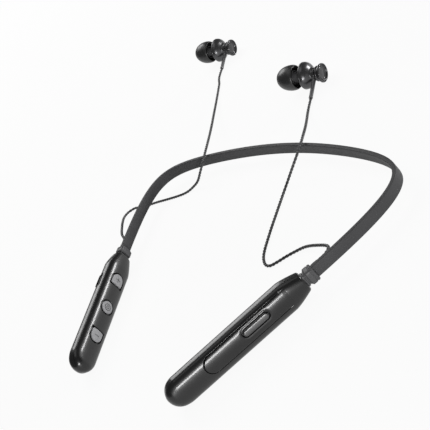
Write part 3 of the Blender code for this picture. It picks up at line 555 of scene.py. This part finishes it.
def port_well(outer, normal):
    """The charge port's slot in the top side."""
    u, v = outer[..., 0] - PORT_PLACE, outer[..., 1] - PORT_OFFSET
    reach = (PORT_WIDTH - PORT_THICKNESS) / 2.0
    away = bar_distance(u, v, reach, PORT_THICKNESS / 2.0 + PORT_GAP)
    return WELL_DEPTH * soft_step(away, WELL_SOFT) * (normal[..., 2] > 0.4)


def panel_fade(x):
    """0 at the panel's rear end, where it runs out flush into the shoulder, and 1 further forward."""
    share = np.clip((x - PANEL_REAR) / PANEL_FADE, 0.0, 1.0)
    return share * share * (3.0 - 2.0 * share)


def panel_bed(outer, normal):
    """The panel's bed in the battery pod's face, and the key's deeper well in it."""
    x, z = outer[..., 0], outer[..., 2]
    bed = BED_DEPTH * panel_fade(x) * soft_step(tongue_distance(x, z - PANEL_RISE) - BED_GAP, BED_SOFT)
    away = bar_distance(x - KEY_CENTRE, z - KEY_RISE, (KEY_LENGTH - KEY_WIDTH) / 2.0, KEY_WIDTH / 2.0 + WELL_GAP)
    well = KEY_BED * soft_step(away, WELL_SOFT)
    return (bed + well) * (normal[..., 1] > 0.3)


def press_cap(place, radius_at, proud, top_round):
    """A press cap on the control face.

    Rings of the outline, each drawn in by a distance and set at a height over the pod's face, go from the middle of
    the underside out to the edge, up the wall, over a quarter-round and in across a slightly dished top.
    """
    angle = np.linspace(0.0, 2.0 * math.pi, 96, endpoint=False)
    radius = radius_at(angle)
    turn = np.linspace(0.0, math.pi / 2.0, 7)
    inset = np.concatenate([[0.0, 0.0], top_round * (1.0 - np.cos(turn)), np.full(7, top_round)])
    share = np.concatenate([[0.0, 1.0], np.ones(7), np.linspace(0.95, 0.0, 7)])
    height = np.concatenate([[-CAP_SINK, -CAP_SINK], proud - top_round * (1.0 - np.sin(turn)),
                             proud - BUTTON_DISH * (1.0 - np.linspace(0.95, 0.0, 7) ** 2)])
    reach = (radius[None, :] - inset[:, None]) * share[:, None]
    x = place[0] + reach * np.cos(angle)
    z = place[1] + reach * np.sin(angle)
    return np.stack([x, face_at(x, z) + height[:, None], z], axis=-1)


def round_cap(radius):
    """The radius of a round cap, the same at every angle."""
    return lambda angle: np.full_like(angle, radius)


def arch_cap(radius, flat, towards):
    """The radius of an arched cap: a half circle, and a soft-cornered rectangle on the side that it faces."""
    def radius_at(angle):
        facing = np.maximum(towards * np.cos(angle), 0.0) / flat
        across = np.abs(np.sin(angle)) / radius
        return np.where(facing > 0.0, (facing ** 9.0 + across ** 9.0) ** (-1.0 / 9.0), radius)
    return radius_at


def bar_cap(place, length, width, low, proud, top_round, turned=False):
    """A bar with round ends: its outline drawn in ring by ring, up the wall, over the edge, in to its middle line."""
    turn = np.linspace(0.0, math.pi / 2.0, 8)
    inset = np.concatenate([[width / 2.0, 0.0], top_round * (1.0 - np.cos(turn)),
                            np.linspace(top_round, width / 2.0, 5)[1:]])
    height = np.concatenate([[low, low], proud - top_round * (1.0 - np.sin(turn)), np.full(4, proud)])
    half = np.linspace(-math.pi / 2.0, math.pi / 2.0, 20)
    angle = np.concatenate([half, half + math.pi])
    end = np.repeat([1.0, -1.0], 20) * (length - width) / 2.0
    radius = width / 2.0 - inset[:, None]
    u = end + radius * np.cos(angle)
    v = radius * np.sin(angle)
    x, z = (place[0] + v, place[1] + u) if turned else (place[0] + u, place[1] + v)
    return np.stack([x, face_at(x, z) + height[:, None], z], axis=-1)


def ring_mark(place, radius, thickness, height):
    """A flat ring: a small round section carried round a circle."""
    round_angle = np.linspace(0.0, 2.0 * math.pi, 64, endpoint=False)[:, None]
    section = np.linspace(0.0, 2.0 * math.pi, 12, endpoint=False)[None, :]
    reach = radius + thickness / 2.0 * np.cos(section)
    x = place[0] + reach * np.cos(round_angle)
    z = place[1] + reach * np.sin(round_angle)
    return np.stack([x, face_at(x, z) + height + RING_MARK_ROUND * np.sin(section) + 0.0 * x, z], axis=-1)


def control_pod(finishes):
    """The left pod: two shells, three buttons with their marks, and the charge port."""
    side = -1.0
    plate = pod_shell(1.0, PARTING, 440, 170, button_wells)
    make_piece("control_pod_face_shell", ringed(on_table(side, plate)), finishes["pod"],
               stands_for=("left_pod_inner_shell",))
    tub = pod_shell(-1.0, PARTING, 400, 130, port_well)
    make_piece("control_pod_back_shell", ringed(on_table(side, tub)), finishes["pod"],
               stands_for=("left_pod_outer_shell",))
    places = {step: (BUTTON_CENTRE + step * BUTTON_PITCH, 0.0) for step in (-1.0, 0.0, 1.0)}
    caps = (
        ("volume_up", -1.0, arch_cap(SIDE_BUTTON_RADIUS, SIDE_BUTTON_FLAT, 1.0)),
        ("power", 0.0, round_cap(BUTTON_RADIUS)),
        ("volume_down", 1.0, arch_cap(SIDE_BUTTON_RADIUS, SIDE_BUTTON_FLAT, -1.0)),
    )
    for name, step, radius_at in caps:
        rings = press_cap(places[step], radius_at, BUTTON_PROUD, BUTTON_EDGE)
        make_piece(name + "_cap", ringed(on_table(side, rings)), finishes["button"],
                   name + "_button_body", (name + "_button",))
    level = BUTTON_PROUD - MARK_SINK
    top = BUTTON_PROUD - MARK_EDGE
    x, z = places[-1.0]
    arms = [bar_cap((x, z), MARK_LENGTH, MARK_WIDTH, level, top, MARK_EDGE)]
    arms += [bar_cap((x, z + lift), MARK_ARM, MARK_WIDTH, level, top, MARK_EDGE, True)
             for lift in (MARK_ARM_LIFT, -MARK_ARM_LIFT)]
    x, z = places[1.0]
    marks = {
        "volume_up": arms,
        "volume_down": [bar_cap((x, z), MARK_LENGTH, MARK_WIDTH, level, top, MARK_EDGE, True)],
    }
    for name, bars in marks.items():
        make_piece(name + "_mark", joined([ringed(on_table(side, bar)) for bar in bars]), finishes["mark"],
                   name + "_button_body")
    rings = [ring_mark(places[0.0], radius, RING_MARK_WIDTH, BUTTON_PROUD - RING_MARK_SINK)
             for radius in RING_MARK_RADII]
    make_piece("power_mark", joined([ringed(on_table(side, ring), True) for ring in rings]), finishes["mark"],
               "power_button_body")
    charge_port(side, finishes)


def slot_ring(reach, radius, z):
    """A slot's outline at a height, in the pod's own frame."""
    half = np.linspace(-math.pi / 2.0, math.pi / 2.0, 16)
    angle = np.concatenate([half, half + math.pi])
    end = np.repeat([1.0, -1.0], 16) * reach
    x = PORT_PLACE + end + radius * np.cos(angle)
    return np.stack([x, -PORT_OFFSET + radius * np.sin(angle), np.full_like(x, z)], axis=-1)


def charge_port(side, finishes):
    """The dark mouth of the charge port, a slot-shaped ring, and the contact tongue in it."""
    reach = (PORT_WIDTH - PORT_THICKNESS) / 2.0
    outer, inner = PORT_THICKNESS / 2.0 - PORT_EASE, PORT_THICKNESS / 2.0 - PORT_WALL
    top, floor = POD_HEIGHT / 2.0 - PORT_SINK, POD_HEIGHT / 2.0 - PORT_FLOOR
    ring = np.stack([slot_ring(reach, outer, floor), slot_ring(reach, outer, top), slot_ring(reach, inner, top),
                     slot_ring(reach, inner, floor)])
    make_piece("charge_port_mouth", ringed(on_table(side, ring), True), finishes["resin"],
               stands_for=("charge_port",))
    reach -= PORT_EDGE
    top -= PORT_EDGE
    tongue = np.stack([slot_ring(reach, 0.0, floor), slot_ring(reach, PORT_TONGUE, floor),
                       slot_ring(reach, PORT_TONGUE, top), slot_ring(reach, 0.0, top)])
    make_piece("charge_port_contact", ringed(on_table(side, tongue)), finishes["resin"],
               stands_for=("charge_port_tongue",))


def panel_plate():
    """The panel on the battery pod's face.

    Strips across the panel, as wide as its outline is there, lie on the pod's own face, raised a little, rounded off
    towards the outline and pressed in where the key stands. The underside follows a skin below.
    """
    bend = np.linspace(math.pi / 2.0, 0.0, 40)
    middle = PANEL_FRONT - PANEL_HEIGHT / 2.0
    x = np.concatenate([np.linspace(PANEL_REAR, middle, 260), middle + PANEL_HEIGHT / 2.0 * np.cos(bend[1:])])
    past = np.maximum(x - middle, 0.0) / (PANEL_HEIGHT / 2.0)
    half = PANEL_HEIGHT / 2.0 * np.sqrt(np.clip(1.0 - past ** 2, 0, 1))
    share = np.sin(np.linspace(-math.pi / 2.0, math.pi / 2.0, 90))
    z = half[:, None] * share[None, :] + PANEL_RISE
    x = np.repeat(x[:, None], 90, axis=1)
    away = -tongue_distance(x, z - PANEL_RISE)
    edge = PANEL_EDGE * (1.0 - eased(away / PANEL_EDGE))
    key_away = bar_distance(x - KEY_CENTRE, z - KEY_RISE, (KEY_LENGTH - KEY_WIDTH) / 2.0, KEY_WIDTH / 2.0 + WELL_GAP)
    dish = KEY_DISH * np.exp(-(key_away / KEY_DISH_SPREAD) ** 2) * (key_away > 0)
    well = KEY_WELL * soft_step(key_away, WELL_SOFT) + dish
    fade = panel_fade(x)
    top = face_at(x, z) + PANEL_LIFT * fade - PANEL_TUCK * (1.0 - fade) - edge * fade - well
    under = top - PANEL_SKIN
    rings = np.concatenate([np.stack([x, top, z], axis=-1), np.stack([x, under, z], axis=-1)[:, ::-1]], axis=1)
    first = rings[:1].copy()
    first[..., 1] = np.concatenate([(top + under)[0] / 2.0, ((top + under)[0] / 2.0)[::-1]])
    return np.concatenate([first, rings])


def battery_pod(finishes):
    """The right pod: two shells, the panel and its bar key."""
    side = 1.0
    tub = pod_shell(1.0, -PARTING, 420, 186, panel_bed)
    make_piece("battery_pod_face_shell", ringed(on_table(side, tub)), finishes["pod"],
               stands_for=("right_pod_outer_shell",))
    plate = pod_shell(-1.0, -PARTING, 140, 70, no_dents)
    make_piece("battery_pod_back_shell", ringed(on_table(side, plate)), finishes["pod"],
               stands_for=("right_pod_inner_shell",))
    make_piece("battery_pod_panel", ringed(on_table(side, panel_plate())), finishes["panel"],
               stands_for=("right_pod_panel",))
    key = bar_cap((KEY_CENTRE, KEY_RISE), KEY_LENGTH, KEY_WIDTH, -KEY_SINK, KEY_PROUD, KEY_EDGE)
    make_piece("function_key_cap", ringed(on_table(side, key)), finishes["key"],
               "function_key_body", ("function_key",))


# Band and collars

def band_line(count):
    """Middle line of the band from collar to collar: a fourth-degree curve for the right half, and its mirror."""
    back = np.array([math.sin(POD_TOE), math.cos(POD_TOE)])
    rear = np.array([POD_REAR_X, 0.0])
    start = rear + back * (COLLAR_NECK + COLLAR_LENGTH + FIT_GAP)
    end = np.array([0.0, BAND_BACK_Y])
    controls = np.stack([start, rear + back * BAND_ARM_REACH, np.array(BAND_CORNER), end + [BAND_BACK_REACH, 0.0],
                         end])
    share = np.linspace(0.0, 1.0, count)[:, None]
    order = np.arange(5)
    weights = np.array([math.comb(4, i) for i in order]) * share ** order * (1.0 - share) ** (4 - order)
    half = weights @ controls
    return np.vstack([half * [-1.0, 1.0], half[-2::-1]])


def band_ribbon():
    """The silicone ribbon: a power-oval section, nearly a rounded rectangle, carried along the band's line."""
    line = band_line(150)
    back = np.array([math.sin(POD_TOE), math.cos(POD_TOE)]) * (FIT_GAP + 0.0002)
    line = np.vstack([line[:1] - back * [-1.0, 1.0], line, line[-1:] - back])
    run = np.gradient(line, axis=0)
    run /= np.linalg.norm(run, axis=1)[:, None]
    outward = np.column_stack([-run[:, 1], run[:, 0]])
    angle = np.linspace(0.0, 2.0 * math.pi, BAND_POINTS, endpoint=False)
    thick = BAND_THICKNESS / 2.0 * power(np.cos(angle), 2.0 / 5.0)
    high = BAND_HEIGHT / 2.0 * power(np.sin(angle), 2.0 / 9.0)
    flat = line[:, None, :] + outward[:, None, :] * thick[None, :, None] + NECK[:2]
    z = np.repeat((POD_HEIGHT / 2.0 + high)[None, :], len(line), axis=0)
    rings = np.concatenate([flat, z[..., None]], axis=-1)
    ends = [np.repeat(rings[end].mean(axis=0)[None, None], BAND_POINTS, axis=1) for end in (0, -1)]
    return ringed(np.concatenate([ends[0], rings, ends[1]]))


def band_collar(side):
    """A stepped collar: rings of a soft rectangle along the pod's axis, wide at the ring and narrow at the neck."""
    ring_y, ring_z = COLLAR_THICKNESS / 2.0, COLLAR_HEIGHT / 2.0
    neck_y, neck_z = STEM_THICKNESS / 2.0 + 0.0006, STEM_HEIGHT / 2.0 + 0.0004
    end = -COLLAR_NECK - COLLAR_LENGTH
    steps = np.array([
        (0.0004, 0.0, 0.0), (0.0004, 1.0, 0.0), (-0.0008, 1.0, 0.0), (-0.0010, 0.88, 0.0), (-0.0013, 0.88, 0.0),
        (-0.0015, 1.0, 0.0), (-COLLAR_NECK + 0.0001, 1.0, 0.0), (-COLLAR_NECK, 1.0, 0.80),
        (-COLLAR_NECK - 0.0001, 1.0, 0.90), (-COLLAR_NECK - 0.0003, 1.0, 0.97), (-COLLAR_NECK - 0.0006, 1.0, 1.0),
        (end + 0.0017, 1.0, 1.0),
        (end + 0.0015, 1.0, 0.93), (end + 0.0012, 1.0, 0.93), (end + 0.0010, 1.0, 1.0), (end + 0.0005, 1.0, 0.98),
        (end + 0.0001, 1.0, 0.90), (end, 1.0, 0.80), (end, 0.0, 0.0),
    ])
    angle = np.linspace(0.0, 2.0 * math.pi, COLLAR_POINTS, endpoint=False)
    soft_y = power(np.cos(angle), 2.0 / 5.0)
    soft_z = power(np.sin(angle), 2.0 / 5.0)
    scale_y = np.where(steps[:, 2] > 0.0, ring_y * steps[:, 2], neck_y * steps[:, 1])
    scale_z = np.where(steps[:, 2] > 0.0, ring_z - ring_y * (1.0 - steps[:, 2]), neck_z * steps[:, 1])
    along = np.repeat(steps[:, :1], COLLAR_POINTS, axis=1)
    rings = np.stack([along, scale_y[:, None] * soft_y, scale_z[:, None] * soft_z], axis=-1)
    return ringed(on_table(side, rings))


def turned(profile, sides=96):
    """A profile of (radius, x) points turned about the x axis; it closes on the axis or back on itself."""
    angle = np.linspace(0.0, 2.0 * math.pi, sides, endpoint=False)
    radius, x = profile[:, :1], profile[:, 1:]
    rings = np.stack([x + 0.0 * angle, radius * np.cos(angle), radius * np.sin(angle)], axis=-1)
    return rings, profile[0, 0] > 0.0


def softened(profile, rounds=3, closed=False):
    """Corners cut off a profile again and again, a quarter of each side at a time, which rounds it."""
    for _ in range(rounds):
        ahead = np.roll(profile, -1, axis=0) if closed else profile[1:]
        here = profile if closed else profile[:-1]
        cut = np.stack([0.75 * here + 0.25 * ahead, 0.25 * here + 0.75 * ahead], axis=1).reshape(-1, 2)
        profile = cut if closed else np.vstack([profile[:1], cut, profile[-1:]])
    return profile


def boot(start, length, radius, tip_radius, ribs):
    """A rubber boot's profile: a taper with shallow grooves near its root and a small lip at its tip."""
    x = np.linspace(0.0, 1.0, 160)
    taper = radius + (tip_radius - radius) * x
    grooves = 0.10 * radius * ribs * np.clip(np.sin(x * 2.0 * math.pi * 9.0), 0.0, 1.0) * (x < 0.45)
    lip = 0.06 * radius * np.exp(-((x - 0.95) / 0.03) ** 2)
    side = np.column_stack([taper - grooves + lip, start + length * x])
    return np.vstack([[(0.0, start)], side, [(0.0, start + length)]])


def pod_fittings(side, name, finishes):
    """The collar at a pod's rear and the cord's gland beside the band."""
    make_piece(name + "_collar", band_collar(side), finishes["collar"],
               stands_for=(name + "_band_collar",))
    rings, loop = turned(boot(0.0, GLAND_LENGTH, GLAND_RADIUS, 0.9 * GLAND_RADIUS, 1.0), 40)
    rings = rings * [-1.0, 1.0, 1.0] + [-COLLAR_NECK - COLLAR_LENGTH - FIT_GAP, -GLAND_SIDE, GLAND_RISE]
    make_piece(name + "_gland", ringed(on_table(side, rings), loop), finishes["collar"],
               stands_for=(name + "_cable_gland",))


# Earbuds

def in_bud(place, local):
    """Points of an earbud's own frame, x to its ear tip, tilted and turned to where it lies."""
    c, s = math.cos(BUD_TILT), math.sin(BUD_TILT)
    ca, sa = math.cos(BUD_AZIMUTH), math.sin(BUD_AZIMUTH)
    tilt = np.array([[c, 0.0, -s], [0.0, 1.0, 0.0], [s, 0.0, c]])
    turn = np.array([[ca, -sa, 0.0], [sa, ca, 0.0], [0.0, 0.0, 1.0]])
    return local @ (turn @ tilt).T + NECK + [place[0], place[1], RIM_RADIUS * c]


def bud_shapes():
    """Profiles of an earbud's turned pieces, as (radius, x) points from the front of each to its back."""
    body = softened(np.array([
        (0.0, 0.00075), (0.0050, 0.0008), (0.00705, 0.0007), (0.0074, 0.0003), (0.0075, -0.0002), (0.00735, -0.0004),
        (0.0074, -0.0007), (0.0073, -0.0014), (0.0069, -0.0023), (0.0060, -0.0034), (0.0048, -0.0043),
        (0.0039, -0.0049), (0.0036, -0.0055), (0.0036, -0.0064), (0.0036, -NECK_END), (0.0, -NECK_END),
    ]))
    end = NOZZLE_LENGTH
    nozzle = softened(np.array([
        (0.0, 0.0009), (0.0052, 0.0009), (0.0049, 0.0013), (0.0038, 0.0022), (0.0029, 0.0032), (0.0027, 0.0040),
        (0.0027, end - 0.0022), (0.0029, end - 0.0014), (0.0030, end - 0.0006), (0.0026, end), (0.0017, end),
        (0.0017, end - 0.0012), (0.0, end - 0.0012),
    ]), 2)
    start, end = TIP_START, TIP_START + TIP_LENGTH
    tip = softened(np.array([
        (0.0064, start), (0.0068, start + 0.0008), (0.0070, start + 0.0022), (0.00695, start + 0.0042),
        (0.0065, start + 0.0064), (0.0056, start + 0.0085), (0.0043, start + 0.0101), (0.0036, end), (0.0032, end),
        (0.0032, end - 0.0010), (0.0032, start + 0.0010), (0.0039, start + 0.0010), (0.0039, start + 0.0060),
        (0.0053, start + 0.0058), (0.0062, start + 0.0040), (0.0064, start + 0.0021), (0.0062, start + 0.0008),
        (0.0060, start),
    ]), 3, True)
    front = -NECK_END - FIT_GAP
    back = front - CAP_LENGTH
    cap = softened(np.array([
        (0.0, front), (0.0036, front), (0.0040, front - 0.0001), (0.0043, front - 0.0005), (0.0041, front - 0.0010),
        (0.0039, front - 0.0014), (0.0041, front - 0.0020), (0.0049, front - 0.0024), (0.0052, front - 0.0028),
        (0.0052, back + 0.0004), (0.0051, back + 0.0001), (0.0048, back), (0.0045, back + 0.0002),
        (0.0044, back + 0.0007), (0.0042, back + 0.0009), (0.0037, back + 0.0009), (0.0035, back + 0.0005),
        (0.0031, back + 0.0005),
        (0.0029, back + 0.0009), (0.0022, back + 0.0009), (0.0010, back + 0.0007), (0.0, back + 0.0007),
    ]), 2)
    return {"body": body, "nozzle": nozzle, "tip": tip, "cap": cap}


def earbud(name, finishes):
    """One earbud: shell, front and nozzle, silicone tip, rear cap and cord boot, all turned about their axes."""
    place = BUD_PLACES[name]
    wear = {
        "body": ("bud", "bud_shell", "_bud_body"),
        "nozzle": ("boot", "bud_shell", "_bud_nozzle"),
        "tip": ("tip", "tip_silicone", "_ear_tip"),
        "cap": ("cap", "bud_shell", "_bud_rear_cap"),
    }
    for part, profile in bud_shapes().items():
        finish, slot, node = wear[part]
        rings, loop = turned(profile)
        make_piece(name + "_bud_" + part, ringed(in_bud(place, rings), loop), finishes[finish],
                   stands_for=(name + node,))
    rings, loop = turned(boot(NECK_RADIUS, RELIEF_LENGTH + FIT_GAP, RELIEF_RADIUS, 0.96 * RELIEF_RADIUS, 0.0), 48)
    along = np.array([0.0, math.cos(RELIEF_DROP), -math.sin(RELIEF_DROP)])
    beside = np.array([1.0, 0.0, 0.0])
    turn = np.stack([along, beside, np.cross(along, beside)])
    local = rings @ turn + [-RELIEF_PLACE, 0.0, 0.0]
    make_piece(name + "_cord_boot", ringed(in_bud(place, local), loop), finishes["boot"],
               stands_for=(name + "_strain_relief",))


# Inner pieces kept from the solids

def dress_inner_pieces(finishes):
    """Give the hidden solids their finishes."""
    wear = {
        "resin": ["function_key_switch", "volume_up_switch", "power_switch", "volume_down_switch", "radio_chip",
                  "left_bud_driver", "right_bud_driver"],
        "board": ["control_board", "protection_board"],
        "steel": ["microphone", "spring_core", "left_cap_magnet", "right_cap_magnet", "left_nozzle_mesh",
                  "right_nozzle_mesh"],
        "copper": ["link_wire"],
        "cell": ["battery"],
    }
    for finish, nodes in wear.items():
        for node in nodes:
            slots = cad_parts[node].material_slots
            for place in slots:
                place.material = finishes[finish]


# Table and light

def white_table():
    """A wide white floor that stays near white to the eye and in reflections, and keeps the shadow."""
    made, shader, add, join = node_maker("white_table")
    shader.inputs["Base Color"].default_value = (0.86, 0.86, 0.86, 1.0)
    shader.inputs["Roughness"].default_value = 0.9
    shader.inputs["Specular IOR Level"].default_value = 0.1
    rays = add("ShaderNodeLightPath")
    seen = add("ShaderNodeMath", operation="MAXIMUM")
    join(rays, "Is Camera Ray", seen, 0)
    join(rays, "Is Glossy Ray", seen, 1)
    seen_too = add("ShaderNodeMath", operation="MAXIMUM")
    join(seen, "Value", seen_too, 0)
    join(rays, "Is Transmission Ray", seen_too, 1)
    amount = add("ShaderNodeMath", operation="MULTIPLY")
    join(seen_too, "Value", amount, 0)
    amount.inputs[1].default_value = TABLE_WHITE
    glow = add("ShaderNodeEmission", Strength=1.0)
    mix = add("ShaderNodeMixShader")
    join(amount, "Value", mix, "Fac")
    join(shader, "BSDF", mix, 1)
    join(glow, "Emission", mix, 2)
    output = made.node_tree.nodes["Material Output"]
    join(mix, "Shader", output, "Surface")
    reach = TABLE_REACH
    mesh = bpy.data.meshes.new("table")
    mesh.from_pydata([(-reach, -reach, 0.0), (reach, -reach, 0.0), (reach, reach, 0.0), (-reach, reach, 0.0)], [],
                     [(0, 1, 2, 3)])
    mesh.materials.append(made)
    table = bpy.data.objects.new("table", mesh)
    bpy.context.collection.objects.link(table)


def softbox(name, place, aim, size, power_watts):
    """A rectangular studio light that faces a point."""
    lamp = bpy.data.lights.new(name, "AREA")
    lamp.shape = "RECTANGLE"
    lamp.size, lamp.size_y = size
    lamp.energy = power_watts
    made = bpy.data.objects.new(name, lamp)
    away = np.array(place) - np.array(aim)
    away = away / np.linalg.norm(away)
    side = np.cross([0.0, 0.0, 1.0], away)
    side = side / np.linalg.norm(side)
    up = np.cross(away, side)
    turn = Matrix((tuple(side), tuple(up), tuple(away))).transposed().to_4x4()
    made.matrix_world = Matrix.Translation(place) @ turn
    made.visible_camera = False
    bpy.context.collection.objects.link(made)


def light_studio():
    """Soft light all round, boxes overhead and on the far side, and two low boxes that draw bands along the pods."""
    world = bpy.data.worlds.new("studio")
    world.use_nodes = True
    world.node_tree.nodes["Background"].inputs["Color"].default_value = (1.0, 1.0, 1.0, 1.0)
    world.node_tree.nodes["Background"].inputs["Strength"].default_value = ROOM_LIGHT
    bpy.context.scene.world = world
    softbox("overhead_box", (0.10, 0.10, 1.40), (0.0, 0.0, 0.0), (1.0, 1.0), 3.0)
    softbox("far_box", (-0.89, 0.32, 0.74), (0.0, 0.0, 0.0), (0.6, 0.6), 6.0)
    softbox("near_box", (1.00, -0.74, 0.11), (0.0, 0.0, 0.0), (0.36, 0.18), 9.0)
    softbox("rear_box", (0.46, 1.10, 0.11), (0.0, 0.0, 0.0), (0.36, 0.18), 8.0)
    bpy.context.scene.view_settings.view_transform = "Standard"


place_camera()
finishes = make_finishes()
lay_cord("left", LEFT_ROUTE, finishes)
lay_cord("right", RIGHT_ROUTE, finishes)
control_pod(finishes)
battery_pod(finishes)
make_piece("neck_ribbon", band_ribbon(), finishes["band"], stands_for=("neckband_strip",))
pod_fittings(-1.0, "left", finishes)
pod_fittings(1.0, "right", finishes)
earbud("left", finishes)
earbud("right", finishes)
dress_inner_pieces(finishes)
white_table()
light_studio()
